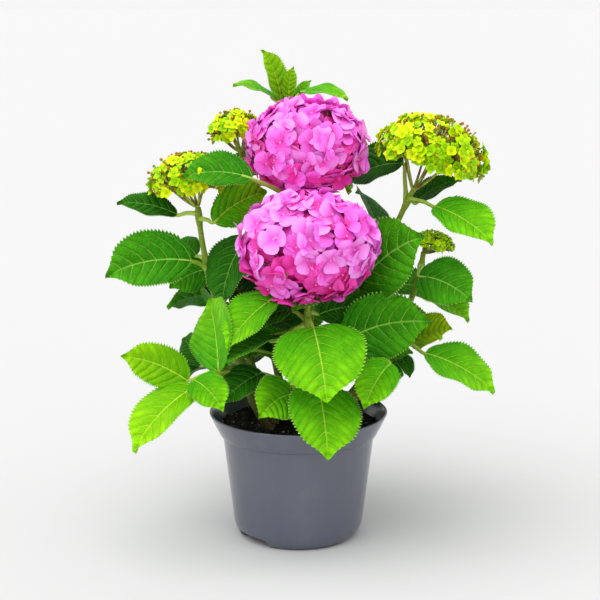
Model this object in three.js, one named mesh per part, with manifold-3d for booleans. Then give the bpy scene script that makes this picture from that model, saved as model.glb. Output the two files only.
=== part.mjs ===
// A bigleaf hydrangea in a round nursery pot. Millimetres, +Z up, the origin at the centre of
// the pot's flat underside, and the plant's front towards -Y.
//
// Canes rise from the compost. Leaves stand on them in bunches, and each bunch is one solid:
// a sleeve round the cane with a leaf-shaped lobe for every leaf. Round pink heads and flatter
// lime heads end the canes.
import * as THREE from "three";
import { mergeVertices } from "three/addons/utils/BufferGeometryUtils.js";
import Module from "manifold-3d";

const wasm = await Module();
wasm.setup();

// ---- driving dimensions ------------------------------------------------------------------
const GAP = 0.3;

const POT_HEIGHT = 134;
const RIM_RADIUS = 95;
const RIM_BAND = 24;
const RIM_FOOT_RADIUS = 83;
const WALL_TOP_RADIUS = 80.5;
const WALL_FOOT_RADIUS = 69;
const UNDERSIDE_RADIUS = 59;
const CORNER_HEIGHT = 16;
const WALL = 2.2;
const FLOOR = 12;
const NOTCH_DEPTH = 9;
const NOTCH_SPREAD = 44;
const NOTCH_FIRST = -140;
const NOTCH_COUNT = 3;
const NOTCH_INNER_RADIUS = 36;
const POT_SIDES = 30;

const SOIL_TOP = 120;
const SOIL_SIDES = 24;

const CANE_FOOT_RADIUS = 5;
const CANE_TIP_RADIUS = 3.4;
const CANE_SIDES = 5;
const CANE_STEPS = 5;

const SLEEVE_RADIUS = 7.5;
const SLEEVE_MARGIN = 0.05;
const LEAF_THICKNESS = 5;
const LEAF_WIDTH_SHARE = 0.68;
const LEAF_FOLD = 14;
const LEAF_ARCH = 34;
const STALK_RADIUS = 3;

// ---- the canes: foot on the compost, point they bend towards, tip --------------------------
const CANES = {
  left: [[-25, -5], [-95, -8, 235], [-103, -10, 352]],
  upper: [[5, 12], [20, 15, 250], [7, 14, 370]],
  lower: [[0, -20], [8, -40, 190], [10, -52, 268]],
  right: [[30, 5], [72, 5, 275], [118, 0, 368]],
  young: [[25, -10], [120, 0, 215], [130, 0, 304]],
  behind: [[-12, 20], [-50, 62, 290], [-60, 36, 404]],
  top: [[2, 30], [0, 95, 300], [-14, 70, 449]],
  side_left: [[-30, -25], [-50, -38, 150], [-60, -45, 192]],
  front: [[20, -30], [20, -50, 150], [18, -58, 178]],
  side_right: [[38, -22], [65, -35, 160], [80, -42, 205]],
  back_left: [[-25, 25], [-70, 90, 180], [-62, 104, 252]],
  back_right: [[25, 28], [75, 95, 195], [82, 100, 272]],
  back: [[3, 46], [-5, 105, 180], [0, 125, 290]],
};

// ---- the leaf bunches ----------------------------------------------------------------------
// Each leaf: share of the cane's length at its joint; its stalk's length, heading and rise;
// its blade's length, heading, pitch and roll; and, where it isn't the usual one, the blade's
// width as a share of its length. Headings turn from +X towards +Y.
const BUNCHES = {
  top_leaves: ["top", [
    [1, 15, -130, 31, 52, -167, 20, -14, 0.67],
    [1, 8, -130, 34, 61, -162, 69, -71, 0.46],
    [1, 11, -59, 40, 37, 36, 80, 64, 0.42],
    [0.97, 16, -26, 53, 32, 28, 50, 40, 0.4],
    [0.95, 36, -47, 58, 57, -20, -5, 11, 0.67],
  ]],
  upper_leaves: ["upper", [
    [0.88, 88, -137, 30, 72, -176, 2, -42, 0.62],
    [0.6, 85, 4, 34, 67, 109, 38, 36, 0.7],
  ]],
  left_high_leaves: ["left", [
    [0.97, 25, 156, -4, 64, -172, 12, -38, 0.5],
    [0.95, 22, -44, -5, 70, 29, 24, 85, 0.65],
  ]],
  left_wide_leaves: ["left", [
    [0.72, 29, -126, 27, 92, -162, -7, -57, 0.67],
    [0.76, 23, 120, 7, 37, 132, 18, -31, 0.66],
    [0.68, 27, 87, 13, 52, 183, -25, -85, 0.73],
    [0.66, 64, -16, 52, 78, -151, -68, -16, 0.75],
  ]],
  left_low_leaves: ["left", [
    [0.3, 43, 167, -10, 49, 125, 26, -55, 0.6],
    [0.32, 30, 129, 0, 50, 155, 73, -58, 0.61],
  ]],
  side_left_leaves: ["side_left", [
    [1, 55, -171, -13, 74, -174, 23, -85, 0.59],
    [0.92, 50, -159, -10, 96, -141, -35, -8, 0.57],
    [0.95, 53, -152, -3, 56, -51, -23, 28, 0.67],
    [0.9, 31, -139, 15, 84, 101, 53, -64, 0.86],
  ]],
  front_high_leaves: ["lower", [
    [0.98, 33, -163, 8, 75, -157, -43, -21, 0.74],
    [0.98, 60, 32, 2, 104, -37, 39, 83, 0.75],
  ]],
  front_middle_leaves: ["lower", [
    [0.82, 25, 138, 23, 58, -150, -21, -19, 0.63],
    [0.88, 23, 60, -14, 63, 4, 6, 85, 0.63],
    [0.84, 24, -76, -9, 91, -80, -42, 11, 1],
    [0.8, 34, 177, -26, 65, -142, -15, 2, 0.82],
    [0.72, 40, 10, -12, 96, -13, 16, 85, 0.7],
  ]],
  front_low_leaves: ["front", [
    [0.6, 64, -181, 30, 59, -144, -25, -27, 0.65],
    [0.6, 29, -160, 24, 60, -126, -11, -46, 0.84],
    [0.9, 22, -84, 27, 85, -83, -48, -10, 0.87],
  ]],
  side_right_leaves: ["side_right", [
    [0.95, 31, -63, 4, 63, -124, -36, -27, 0.66],
    [0.85, 19, 122, 32, 53, -10, 3, 43, 0.63],
    [0.9, 32, 34, 9, 29, -41, -54, 15, 0.65],
  ]],
  right_low_leaves: ["young", [
    [0.5, 48, -49, -10, 83, -19, -26, 21, 0.59],
    [0.5, 37, 48, -23, 53, -28, 27, 45, 0.85],
  ]],
  right_middle_leaves: ["young", [
    [0.92, 27, -101, -13, 71, -42, -15, 51, 0.74],
    [0.86, 21, -72, -60, 60, -37, -21, 12],
  ]],
  right_high_leaves: ["right", [
    [0.95, 15, 58, -18, 55, 4, 27, 20, 0.72],
    [0.95, 34, -42, -6, 78, -39, -24, 24, 0.69],
    [0.93, 49, 93, 51, 69, 155, -21, -42, 0.82],
  ]],
  inner_left_leaves: ["left", [
    [0.5, 30, -10, 10, 88, -8, -25, 10],
    [0.5, 25, 95, 15, 80, 100, -15, 30],
    [0.34, 30, 20, 0, 92, 30, -35, 10],
    [0.55, 15, 40, 10, 60, 20, 0, 40, 0.7],
  ]],
  inner_right_leaves: ["right", [
    [0.5, 22, 20, 12, 60, 15, -8, 40],
    [0.5, 22, 160, 12, 80, 165, -10, -30],
    [0.3, 30, 70, 12, 95, 70, -30, 10],
    [0.3, 28, 130, 5, 85, 135, -35, -10],
  ]],
};

// The rest of the bunches follow one rule: pairs of leaves at even steps up a cane, each pair
// a quarter turn on from the last, long and drooping low down, shorter and level high up.
// Each row: the cane, the number of pairs, the first and last share, the first pair's heading.
const PAIRED_BUNCHES = {
  inner_upper_leaves: ["upper", 2, 0.35, 0.62, 170],
  back_left_leaves: ["back_left", 3, 0.42, 0.88, 25],
  back_right_leaves: ["back_right", 3, 0.42, 0.88, 60],
  back_leaves: ["back", 3, 0.4, 0.94, 5],
  behind_leaves: ["behind", 2, 0.5, 0.84, 100],
  top_low_leaves: ["top", 2, 0.5, 0.76, 45],
};
const PAIR_LENGTHS = [100, 74];
const PAIR_PITCHES = [-45, -5];
const PAIR_STALKS = [30, 16];
const PAIR_STALK_RISE = 15;
const HIGHEST_PAIR_SHARE = 0.9;
const PAIR_OUTWARD_ROLL = 48;

// ---- the flower heads: centre and half sizes; lime heads: cane, lean, tilt, radius, height ----
const PINK_HEADS = {
  pink_head_lower: [[8, -50, 318], [75, 68, 61]],
  pink_head_upper: [[7, 16, 412], [67, 60, 54]],
};
const LIME_HEADS = {
  lime_head_left: ["left", -5, -6, 43, 62],
  lime_head_right: ["right", 8, 15, 57, 86],
  lime_head_behind: ["behind", -3, -8, 30, 50],
  lime_head_young: ["young", 8, 12, 21, 28],
  lime_head_back_left: ["back_left", -6, -8, 34, 42],
  lime_head_back_right: ["back_right", 6, 8, 38, 46],
};

// ---- colours ---------------------------------------------------------------------------------
const finish = (color, roughness) => new THREE.MeshStandardMaterial({ color, roughness, metalness: 0 });
const POT_PLASTIC = finish(0x63666f, 0.5);
const COMPOST = finish(0x14100c, 0.95);
const CANE_BARK = finish(0x6b8a1e, 0.6);
const LEAF_GREEN = finish(0x4d9a12, 0.5);
const PINK = finish(0xef7fe6, 0.7);
const LIME = finish(0xdff02a, 0.7);

// ---- solids ----------------------------------------------------------------------------------
const radians = THREE.MathUtils.degToRad;

// A closed three.js geometry becomes a solid that can be joined and cut.
function toSolid(geometry) {
  const bare = geometry.clone();
  bare.deleteAttribute("normal");
  bare.deleteAttribute("uv");
  const welded = mergeVertices(bare, 1e-4);
  return new wasm.Manifold(new wasm.Mesh({
    numProp: 3,
    vertProperties: new Float32Array(welded.attributes.position.array),
    triVerts: new Uint32Array(welded.index.array),
  }));
}

function toGeometry(solid) {
  const mesh = solid.getMesh();
  const geometry = new THREE.BufferGeometry();
  geometry.setAttribute("position", new THREE.BufferAttribute(mesh.vertProperties, 3));
  geometry.setIndex(new THREE.BufferAttribute(mesh.triVerts, 1));
  geometry.computeVertexNormals();
  return geometry;
}

const largestBody = (solid) =>
  solid.decompose().reduce((best, body) => (body.volume() > best.volume() ? body : best));

const union = (solids) => solids.reduce((whole, solid) => whole.add(solid));

// Rings of equally many points, closed by a fan at both ends, facing out when the rings
// turn anticlockwise about the way they follow each other.
function skin(rings) {
  const sides = rings[0].length;
  const points = rings.flat();
  const index = [];
  for (let r = 0; r + 1 < rings.length; r += 1) {
    for (let k = 0; k < sides; k += 1) {
      const a = r * sides + k;
      const b = r * sides + ((k + 1) % sides);
      index.push(a, b, a + sides, b, b + sides, a + sides);
    }
  }
  const last = (rings.length - 1) * sides;
  for (let k = 1; k + 1 < sides; k += 1) {
    index.push(0, k + 1, k);
    index.push(last, last + k, last + k + 1);
  }
  const geometry = new THREE.BufferGeometry().setFromPoints(points);
  geometry.setIndex(index);
  return geometry;
}

const heading = (turn, pitch) => new THREE.Vector3(
  Math.cos(radians(pitch)) * Math.cos(radians(turn)),
  Math.cos(radians(pitch)) * Math.sin(radians(turn)),
  Math.sin(radians(pitch)),
);

const UP = new THREE.Vector3(0, 0, 1);

// ---- canes -----------------------------------------------------------------------------------
function caneCurve(name) {
  const [foot, bend, tip] = CANES[name];
  return new THREE.QuadraticBezierCurve3(
    new THREE.Vector3(foot[0], foot[1], SOIL_TOP + GAP),
    new THREE.Vector3(...bend),
    new THREE.Vector3(...tip),
  );
}

// A cane is cut level where it stands on the compost, and square at its tip. The last ring
// lies the given distance beyond its place on the curve.
function tube(curve, from, to, steps, radiusAt, beyond, level) {
  const rings = [];
  for (let i = 0; i <= steps; i += 1) {
    const share = from + (to - from) * (i / steps);
    const along = level && i === 0 ? UP : curve.getTangent(share);
    const centre = curve.getPoint(share).addScaledVector(along, i === steps ? beyond : 0);
    const side = new THREE.Vector3(0, 1, 0).cross(along).normalize();
    const front = along.clone().cross(side);
    const ring = [];
    for (let k = 0; k < CANE_SIDES; k += 1) {
      const angle = (k / CANE_SIDES) * Math.PI * 2;
      ring.push(centre.clone()
        .addScaledVector(side, Math.cos(angle) * radiusAt(share))
        .addScaledVector(front, Math.sin(angle) * radiusAt(share)));
    }
    rings.push(ring);
  }
  return skin(rings);
}

const caneRadius = (share) => CANE_FOOT_RADIUS + (CANE_TIP_RADIUS - CANE_FOOT_RADIUS) * share;

const caneSolid = (name, grow) =>
  toSolid(tube(caneCurve(name), 0, 1, CANE_STEPS, (share) => caneRadius(share) + grow, grow, true));

// ---- leaf bunches ----------------------------------------------------------------------------
// A leaf's stalk is a thin three-sided rod from the joint on the cane to the foot of the blade.
// The blade's section is a flat diamond with raised edges, widest a third of the way along.
const BLADE_STATIONS = [[0.0, 0.5], [0.42, 1.0], [1.0, 0.14]];
// A blade's faces meet at so sharp an edge that it spreads this many times further than they rise.
const EDGE_SPREAD = 12;

function stalkSolid(joint, foot, grow) {
  const along = foot.clone().sub(joint).normalize();
  const side = UP.clone().cross(along).normalize();
  const face = along.clone().cross(side);
  const ringAt = (centre) => [90, 210, 330].map((turn) => centre.clone()
    .addScaledVector(side, Math.cos(radians(turn)) * (STALK_RADIUS + grow))
    .addScaledVector(face, Math.sin(radians(turn)) * (STALK_RADIUS + grow)));
  return toSolid(skin([ringAt(joint), ringAt(foot.clone().addScaledVector(along, STALK_RADIUS + grow))]));
}

function bladeSolid(foot, leaf, grow) {
  const [, , , , length, turn, pitch, roll, widthShare] = leaf;
  const half = (length * (widthShare ?? LEAF_WIDTH_SHARE)) / 2;
  const steepest = pitch + LEAF_ARCH / 2;
  const first = BLADE_STATIONS[0];
  const last = BLADE_STATIONS.at(-1);
  const centre = foot.clone();
  let passed = 0;
  const rings = BLADE_STATIONS.map((entry) => {
    const [station, width] = entry;
    const along = heading(turn, steepest - LEAF_ARCH * station);
    const midway = heading(turn, steepest - LEAF_ARCH * (station + passed) / 2);
    centre.addScaledVector(midway, (station - passed) * length);
    passed = station;
    const level = new THREE.Vector3(-Math.sin(radians(turn)), Math.cos(radians(turn)), 0);
    const side = level.applyAxisAngle(along, radians(roll));
    const face = along.clone().cross(side);
    const beyond = entry === first ? -grow : grow;
    const middle = centre.clone();
    if (entry === first || entry === last) {
      middle.addScaledVector(along, beyond);
    }
    const reach = half * width + grow * EDGE_SPREAD;
    const lift = Math.sin(radians(LEAF_FOLD)) * reach;
    const thick = LEAF_THICKNESS * (0.35 + 0.65 * width) / 2 + grow;
    return [
      middle.clone().addScaledVector(face, thick),
      middle.clone().addScaledVector(side, -reach).addScaledVector(face, lift),
      middle.clone().addScaledVector(face, -thick),
      middle.clone().addScaledVector(side, reach).addScaledVector(face, lift),
    ];
  });
  return toSolid(skin(rings));
}

function leafSolid(curve, leaf, grow) {
  const [share, stalk, stalkTurn, stalkRise] = leaf;
  const joint = curve.getPoint(share);
  const foot = joint.clone().addScaledVector(heading(stalkTurn, stalkRise), stalk);
  return stalkSolid(joint, foot, grow).add(bladeSolid(foot, leaf, grow));
}

// The sleeve closes over the tip of a cane that ends in leaves.
function bunchSolid(caneName, leaves, grow) {
  const curve = caneCurve(caneName);
  const shares = leaves.map((leaf) => leaf[0]);
  const last = Math.max(...shares);
  const from = Math.max(Math.min(...shares) - SLEEVE_MARGIN, SLEEVE_MARGIN) - grow / 50;
  const to = Math.min(last + SLEEVE_MARGIN, last === 1 ? 1 : 0.97) + (last === 1 ? 0 : grow / 50);
  const beyond = last === 1 ? SLEEVE_RADIUS + grow : 0;
  const sleeve = toSolid(tube(curve, from, to, 2, () => SLEEVE_RADIUS + grow, beyond, false));
  return union([sleeve, ...leaves.map((leaf) => leafSolid(curve, leaf, grow))]);
}

// The leaves of a pair roll so that their faces lean outwards from the middle of the plant.
function pairedLeaves(curve, pairs, firstShare, lastShare, firstTurn) {
  const leaves = [];
  for (let p = 0; p < pairs; p += 1) {
    const share = pairs > 1 ? THREE.MathUtils.lerp(firstShare, lastShare, p / (pairs - 1)) : firstShare;
    const rank = Math.min(share / HIGHEST_PAIR_SHARE, 1);
    const length = THREE.MathUtils.lerp(...PAIR_LENGTHS, rank);
    const pitch = THREE.MathUtils.lerp(...PAIR_PITCHES, rank);
    const stalk = THREE.MathUtils.lerp(...PAIR_STALKS, rank);
    const outward = curve.getPoint(share).setZ(0).normalize();
    for (const turn of [firstTurn + 90 * p, firstTurn + 90 * p + 180]) {
      const leftward = UP.clone().cross(heading(turn, 0)).dot(outward);
      leaves.push([share, stalk, turn, PAIR_STALK_RISE, length, turn, pitch, -PAIR_OUTWARD_ROLL * leftward]);
    }
  }
  return leaves;
}

// ---- flower heads ------------------------------------------------------------------------------
// A mophead is a ball with a low swelling for each cluster of florets.
function pinkHead(centre, halfSizes, grow) {
  const ball = new THREE.IcosahedronGeometry(1, 3);
  const position = ball.attributes.position;
  const point = new THREE.Vector3();
  for (let i = 0; i < position.count; i += 1) {
    point.fromBufferAttribute(position, i);
    const swelling = Math.sin(point.x * 9) * Math.sin(point.y * 8 + 1) * Math.sin(point.z * 9 + 2);
    point.multiplyScalar(0.985 + 0.03 * swelling);
    point.multiply(new THREE.Vector3(...halfSizes).addScalar(grow)).add(new THREE.Vector3(...centre));
    position.setXYZ(i, point.x, point.y, point.z);
  }
  return toSolid(ball);
}

// A lime head is a dome on a short cone of branches that spreads from the cane's tip.
const DOME = [[0, 0], [0.16, 0.02], [0.9, 0.36], [1, 0.56], [0.82, 0.82], [0.45, 0.97], [0, 1]];

function limeHead(caneName, lean, tilt, radius, height, grow) {
  const tip = new THREE.Vector3(...CANES[caneName][2]);
  const profile = DOME.map(([r, z]) => new THREE.Vector2(r > 0 ? r * radius + grow : 0, z * height + (z > 0.5 ? grow : -grow)));
  const dome = new THREE.LatheGeometry(profile, 9);
  dome.rotateX(Math.PI / 2);
  const position = dome.attributes.position;
  for (let i = 0; i < position.count; i += 1) {
    const rise = position.getZ(i) / height;
    const turn = Math.atan2(position.getY(i), position.getX(i));
    const uneven = 1 + 0.06 * Math.sin(3 * turn + 1) * Math.min(rise, 1);
    position.setX(i, position.getX(i) * uneven + lean * Math.min(Math.max(rise, 0) * 2, 1));
    position.setY(i, position.getY(i) * uneven * 0.92);
  }
  dome.rotateY(radians(tilt));
  dome.translate(tip.x, tip.y, tip.z - 4);
  return toSolid(dome);
}

// ---- pot and compost ---------------------------------------------------------------------------
function potSolid() {
  const bandFoot = POT_HEIGHT - RIM_BAND;
  const outline = [
    [0, 0],
    [UNDERSIDE_RADIUS, 0],
    [UNDERSIDE_RADIUS + 5, 3],
    [WALL_FOOT_RADIUS - 1.5, CORNER_HEIGHT * 0.55],
    [WALL_FOOT_RADIUS, CORNER_HEIGHT],
    [WALL_TOP_RADIUS, bandFoot],
    [RIM_FOOT_RADIUS, bandFoot],
    [RIM_FOOT_RADIUS + 2, bandFoot + 1.5],
    [RIM_RADIUS - 0.5, POT_HEIGHT - 1],
    [RIM_RADIUS - 1.5, POT_HEIGHT],
    [RIM_RADIUS - WALL - 0.8, POT_HEIGHT],
    [WALL_TOP_RADIUS - WALL + 1, bandFoot],
    [WALL_FOOT_RADIUS - WALL, CORNER_HEIGHT],
    [UNDERSIDE_RADIUS, FLOOR],
    [0, FLOOR],
  ];
  const body = new THREE.LatheGeometry(outline.map(([r, z]) => new THREE.Vector2(r, z)), POT_SIDES);
  body.rotateX(Math.PI / 2);
  let pot = toSolid(body);
  for (let n = 0; n < NOTCH_COUNT; n += 1) {
    const middle = NOTCH_FIRST + (360 / NOTCH_COUNT) * n;
    const start = radians(middle - NOTCH_SPREAD / 2);
    const end = radians(middle + NOTCH_SPREAD / 2);
    const sector = new THREE.Shape();
    sector.absarc(0, 0, RIM_RADIUS, start, end, false);
    sector.absarc(0, 0, NOTCH_INNER_RADIUS, end, start, true);
    sector.closePath();
    const cutter = new THREE.ExtrudeGeometry(sector, {
      depth: NOTCH_DEPTH + 5,
      bevelEnabled: false,
      curveSegments: 5,
    });
    cutter.translate(0, 0, -5);
    pot = pot.subtract(toSolid(cutter));
  }
  return pot;
}

function soilGeometry() {
  const bandFoot = POT_HEIGHT - RIM_BAND;
  const flare = (RIM_RADIUS - WALL_TOP_RADIUS - 1.8) / RIM_BAND;
  const outline = [
    [0, FLOOR + GAP],
    [UNDERSIDE_RADIUS - 0.6, FLOOR + GAP],
    [WALL_FOOT_RADIUS - WALL - 0.8, CORNER_HEIGHT + GAP],
    [WALL_TOP_RADIUS - WALL, bandFoot],
    [WALL_TOP_RADIUS - WALL + flare * (SOIL_TOP - bandFoot) - 1.5, SOIL_TOP - 1.5],
    [WALL_TOP_RADIUS - WALL + flare * (SOIL_TOP - bandFoot) - 4, SOIL_TOP],
    [0, SOIL_TOP],
  ];
  const body = new THREE.LatheGeometry(outline.map(([r, z]) => new THREE.Vector2(r, z)), SOIL_SIDES);
  body.rotateX(Math.PI / 2);
  return body;
}

// ---- the whole plant ---------------------------------------------------------------------------
const plant = new THREE.Group();
plant.name = "potted_hydrangea";

function place(name, geometry, material) {
  const mesh = new THREE.Mesh(geometry, material.clone());
  mesh.name = name;
  plant.add(mesh);
}

place("pot", toGeometry(potSolid()), POT_PLASTIC);
place("compost", soilGeometry(), COMPOST);

// What is placed first keeps its whole shape, and what comes later is cut back from it.
let taken = null;
const claim = (solid) => {
  taken = taken ? taken.add(solid) : solid;
};

for (const name of Object.keys(CANES)) {
  place(`cane_${name}`, toGeometry(caneSolid(name, 0)), CANE_BARK);
  claim(caneSolid(name, GAP));
}
for (const [name, [centre, halfSizes]] of Object.entries(PINK_HEADS)) {
  const head = largestBody(pinkHead(centre, halfSizes, 0).subtract(taken));
  place(name, toGeometry(head), PINK);
  claim(pinkHead(centre, halfSizes, GAP));
}
for (const [name, sizes] of Object.entries(LIME_HEADS)) {
  const head = largestBody(limeHead(...sizes, 0).subtract(taken));
  place(name, toGeometry(head), LIME);
  claim(limeHead(...sizes, GAP));
}
const bunches = { ...BUNCHES };
for (const [name, [caneName, ...rule]] of Object.entries(PAIRED_BUNCHES)) {
  bunches[name] = [caneName, pairedLeaves(caneCurve(caneName), ...rule)];
}
for (const [name, [caneName, leaves]] of Object.entries(bunches)) {
  const bunch = largestBody(bunchSolid(caneName, leaves, 0).subtract(taken));
  place(name, toGeometry(bunch), LEAF_GREEN);
  claim(bunchSolid(caneName, leaves, GAP));
}

export default plant;
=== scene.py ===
import math
import random

import bpy
import numpy as np
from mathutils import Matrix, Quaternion, Vector


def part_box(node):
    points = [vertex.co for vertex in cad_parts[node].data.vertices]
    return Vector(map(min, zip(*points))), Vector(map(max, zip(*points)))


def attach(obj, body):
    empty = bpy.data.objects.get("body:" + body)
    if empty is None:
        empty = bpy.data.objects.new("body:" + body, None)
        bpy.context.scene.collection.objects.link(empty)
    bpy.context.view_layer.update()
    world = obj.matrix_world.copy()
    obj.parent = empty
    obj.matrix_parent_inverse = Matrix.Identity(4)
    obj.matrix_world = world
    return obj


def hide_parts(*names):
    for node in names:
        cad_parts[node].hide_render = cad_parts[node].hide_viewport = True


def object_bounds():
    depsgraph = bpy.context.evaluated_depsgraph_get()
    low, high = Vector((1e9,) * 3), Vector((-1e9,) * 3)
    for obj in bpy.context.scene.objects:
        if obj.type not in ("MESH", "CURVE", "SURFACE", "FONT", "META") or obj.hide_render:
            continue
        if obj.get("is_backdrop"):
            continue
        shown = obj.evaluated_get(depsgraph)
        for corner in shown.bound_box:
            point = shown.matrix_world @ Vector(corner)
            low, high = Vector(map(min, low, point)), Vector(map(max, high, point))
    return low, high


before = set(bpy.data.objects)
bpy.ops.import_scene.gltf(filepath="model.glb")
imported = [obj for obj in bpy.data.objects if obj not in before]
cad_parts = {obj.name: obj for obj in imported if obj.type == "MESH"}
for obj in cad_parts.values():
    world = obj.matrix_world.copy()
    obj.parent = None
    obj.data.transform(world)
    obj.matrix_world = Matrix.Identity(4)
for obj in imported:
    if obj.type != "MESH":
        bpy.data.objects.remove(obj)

# A bigleaf hydrangea in a nursery pot: metres, +Z up, the pot's underside at z = 0 and the
# plant's front towards -Y. The CAD nodes give every place, and tables are in millimetres.
cad_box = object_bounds()

# ---- The pot -----------------------------------------------------------------------------
# A thin-walled nursery pot with a deep rim band, a rounded foot and three drainage notches
# in its underside. Injection-moulded in recycled slate-grey polypropylene.
MM = 0.001
POT_TURNS = 180
NOTCH_DEPTH = 9.0
NOTCH_MIDDLES = (-140.0, -20.0, 100.0)
NOTCH_HALF_SPREAD = 22.0
NOTCH_SLOPE = 5.0
NOTCH_INNER_RADIUS = 36.0
FOOT_RADIUS = 75.0
POT_OUTLINE = [
    (0, 0), (20, 0), (36, 0), (38.5, 0), (50, 0), (57, 0), (60, 0.4), (62.5, 1.6), (64.8, 4.0),
    (66.6, 7.2), (68, 11), (69, 16), (71.3, 35), (73.6, 54), (76, 73.5), (78.2, 92), (80, 107.5),
    (80.4, 109.6), (80.9, 110.2), (82.6, 110.3), (83.4, 110.9), (84.2, 112.2), (86, 116),
    (89, 121.5), (92.4, 129), (93.9, 132), (94.3, 133.1), (93.9, 133.8), (93.2, 134),
    (92.5, 133.8), (91.9, 133.2), (88.5, 126.6), (83.5, 117), (79.6, 110.4), (79, 107),
    (74, 66), (67.6, 18), (65, 14), (59, 12.2), (30, 12), (0, 12),
]


def lathe(outline, turns, reshape=None):
    """Points and faces of an outline turned about Z, its two ends closed at the axis."""
    rows = len(outline)
    points = []
    for k in range(turns):
        angle = 2 * math.pi * k / turns
        for r, z in outline[1:-1]:
            if reshape:
                r, z = reshape(math.degrees(angle), r, z)
            points.append((r * math.cos(angle), r * math.sin(angle), z))
    inner = rows - 2
    foot, top = len(points), len(points) + 1
    points += [(0, 0, outline[0][1]), (0, 0, outline[-1][1])]
    faces = []
    for k in range(turns):
        a, b = k * inner, (k + 1) % turns * inner
        faces.append((foot, b, a))
        faces += [(a + i, b + i, b + i + 1, a + i + 1) for i in range(inner - 1)]
        faces.append((a + inner - 1, b + inner - 1, top))
    return points, faces


def ramp(value, low, high):
    """0 below low and 1 above high, turning smoothly between them."""
    share = min(max((value - low) / (high - low), 0.0), 1.0)
    return share * share * (3 - 2 * share)


def notched(angle, r, z):
    """Lifts the underside in each notch, up a slope at its two ends and its inner wall."""
    if z >= NOTCH_DEPTH or r > FOOT_RADIUS:
        return r, z
    apart = min(abs((angle - middle + 180) % 360 - 180) for middle in NOTCH_MIDDLES)
    lift = 1 - ramp(apart, NOTCH_HALF_SPREAD - NOTCH_SLOPE, NOTCH_HALF_SPREAD)
    lift *= ramp(r, NOTCH_INNER_RADIUS - 0.5, NOTCH_INNER_RADIUS + 2.4)
    return r, max(z, NOTCH_DEPTH * lift)


def colour(text):
    """An sRGB hex colour as linear RGBA."""
    parts = [int(text[i:i + 2], 16) / 255 for i in (0, 2, 4)]
    return [c / 12.92 if c <= 0.04045 else ((c + 0.055) / 1.055) ** 2.4 for c in parts] + [1.0]


def node(tree, kind, settings=None, inputs=None):
    """Adds a node with its settings. An input takes a value, or another node's output."""
    made = tree.nodes.new(kind)
    for name, value in (settings or {}).items():
        setattr(made, name, value)
    for key, value in (inputs or {}).items():
        if isinstance(value, bpy.types.NodeSocket):
            tree.links.new(value, made.inputs[key])
        else:
            made.inputs[key].default_value = value
    return made


def finish(name, roughness, ior=None, specular=None):
    """A new material, its node tree and its surface shader."""
    material = bpy.data.materials.new(name)
    material.use_nodes = True
    shader = material.node_tree.nodes["Principled BSDF"]
    for socket, value in (("Roughness", roughness), ("IOR", ior), ("Specular IOR Level", specular)):
        if value is not None:
            shader.inputs[socket].default_value = value
    return material, material.node_tree, shader


def object_place(tree):
    """The place on the piece, in its own metres, that every pattern is laid by."""
    return node(tree, "ShaderNodeTexCoord").outputs["Object"]


def noise(tree, place, scale, detail):
    inputs = {"Vector": place, "Scale": scale, "Detail": detail}
    return node(tree, "ShaderNodeTexNoise", inputs=inputs).outputs[0]


def stretched(tree, place, scales):
    return node(tree, "ShaderNodeMapping", inputs={"Vector": place, "Scale": scales}).outputs[0]


def spread(tree, value, low, high, first, last, smooth=False):
    """Takes a value from the range low to high into the range first to last."""
    settings = {"interpolation_type": "SMOOTHSTEP"} if smooth else None
    inputs = {0: value, 1: low, 2: high, 3: first, 4: last}
    return node(tree, "ShaderNodeMapRange", settings, inputs).outputs[0]


def mixed(tree, share, one, other):
    """Two colours, each an output or a hex colour, mixed by a share from 0 to 1."""
    one, other = (colour(c) if isinstance(c, str) else c for c in (one, other))
    inputs = {0: share, 6: one, 7: other}
    return node(tree, "ShaderNodeMix", {"data_type": "RGBA"}, inputs).outputs[2]


def toned(tree, share, low, dark, high, light):
    """A tint that turns from dark to light as the share goes from low to high."""
    made = node(tree, "ShaderNodeValToRGB", inputs={"Fac": share})
    for stop, place, tint in zip(made.color_ramp.elements, (low, high), (dark, light)):
        stop.position = place
        stop.color = colour(tint)
    return made.outputs[0]


def dress(tree, shader, tint, height, strength, depth_mm):
    """Gives a finish its colour and its relief."""
    tree.links.new(tint, shader.inputs["Base Color"])
    inputs = {"Height": height, "Strength": strength, "Distance": depth_mm * MM}
    tree.links.new(node(tree, "ShaderNodeBump", inputs=inputs).outputs[0], shader.inputs["Normal"])


def linked(name, data):
    """A new object of that data, in the scene."""
    made = bpy.data.objects.new(name, data)
    bpy.context.scene.collection.objects.link(made)
    return made


def mesh_piece(name, points, faces, materials, smooth=True):
    """A mesh object at the origin, made of points in millimetres."""
    mesh = bpy.data.meshes.new(name)
    mesh.from_pydata([tuple(p) for p in np.asarray(points, dtype=float) * MM], [], faces)
    for material in materials:
        mesh.materials.append(material)
    mesh.polygons.foreach_set("use_smooth", [smooth] * len(mesh.polygons))
    mesh.validate()
    return linked(name, mesh)


def settle(piece, slot, *nodes):
    """The piece rides on the plant's one body, and stands for those CAD nodes."""
    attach(piece, "root")
    if nodes:
        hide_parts(*nodes)


# Moulded polypropylene: a soft sheen, a fine moulded grain, and faint upright flow lines.
plastic, tree, shader = finish("moulded_polypropylene", 0.2, 1.55, 0.75)
place = object_place(tree)
flow = noise(tree, stretched(tree, place, (30, 30, 5)), 1.0, 3.0)
dust = spread(tree, noise(tree, place, 45.0, 6.0), 0.55, 0.85, 0.0, 0.12)
tint = mixed(tree, dust, toned(tree, flow, 0.3, "505364", 0.7, "575A69"), "8A8880")
GRAIN_MM = 1.1  # the moulded grain is nearer 0.4 mm, drawn coarser to show
dress(tree, shader, tint, noise(tree, place, 1 / (GRAIN_MM * MM), 1.0), 0.25, 0.25)

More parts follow.
